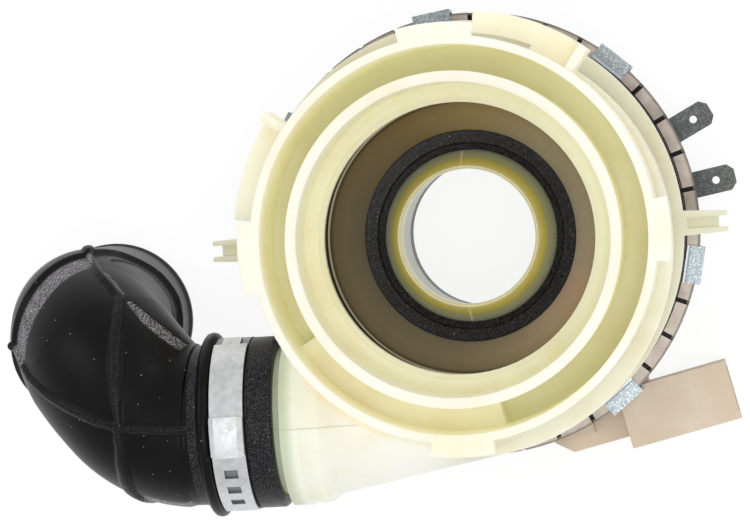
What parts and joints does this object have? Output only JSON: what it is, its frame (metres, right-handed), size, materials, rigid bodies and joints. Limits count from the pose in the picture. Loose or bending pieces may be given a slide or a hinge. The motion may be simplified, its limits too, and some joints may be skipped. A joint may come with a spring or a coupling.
{
  "type": "dishwasher circulation pump wet end",
  "caption": "Wet half of a dishwasher circulation pump: volute housing with motor collar, clamped rubber outlet elbow, and a flow heater held on by a clipped rim.",
  "frame": {"origin": "centre of the suction seal's outer face, on the pump axis", "axes": "+Z along the pump axis towards the motor, X through the two mounting arms, outlet leaving along -X on the -Y side"},
  "size_m": [0.1748, 0.1156, 0.076],
  "materials": {
    "housing_plastic": "satin pale polypropylene",
    "stainless_sheet": "drawn stainless sheet, tanned by heat",
    "ring_sheet": "satin",
    "zinc_sheet": "zinc-plated spring steel",
    "nozzle_plastic": "translucent olive-yellow",
    "black_rubber": "satin",
    "tube_steel": "satin",
    "bead_ceramic": "unglazed ceramic",
    "blade_metal": "tinned, dull",
    "socket_plastic": "satin beige",
    "contact_metal": "tinned",
    "limiter_plastic": "moulded resin",
    "sensor_metal": "satin",
    "clamp_band": "bright band"
  },
  "bodies": {
    "root": {"pump_housing": "housing_plastic", "heater_plate": "stainless_sheet", "rim_gasket": "black_rubber", "rim_ring": "ring_sheet", "rim_clip_1": "zinc_sheet", "rim_clip_2": "zinc_sheet", "rim_clip_3": "zinc_sheet", "rim_clip_4": "zinc_sheet", "rim_clip_5": "zinc_sheet", "rim_clip_6": "zinc_sheet", "rim_clip_7": "zinc_sheet", "suction_nozzle": "nozzle_plastic", "nozzle_seal": "black_rubber", "suction_seal": "black_rubber", "heating_tube": "tube_steel", "terminal_bead_1": "bead_ceramic", "terminal_bead_2": "bead_ceramic", "terminal_blade_1": "blade_metal", "terminal_blade_2": "blade_metal", "connector_housing": "socket_plastic", "connector_pins": "contact_metal", "thermal_limiter": "limiter_plastic", "temperature_sensor": "sensor_metal", "rubber_elbow": "black_rubber", "hose_clamp": "clamp_band"}
  },
  "joints": []
}
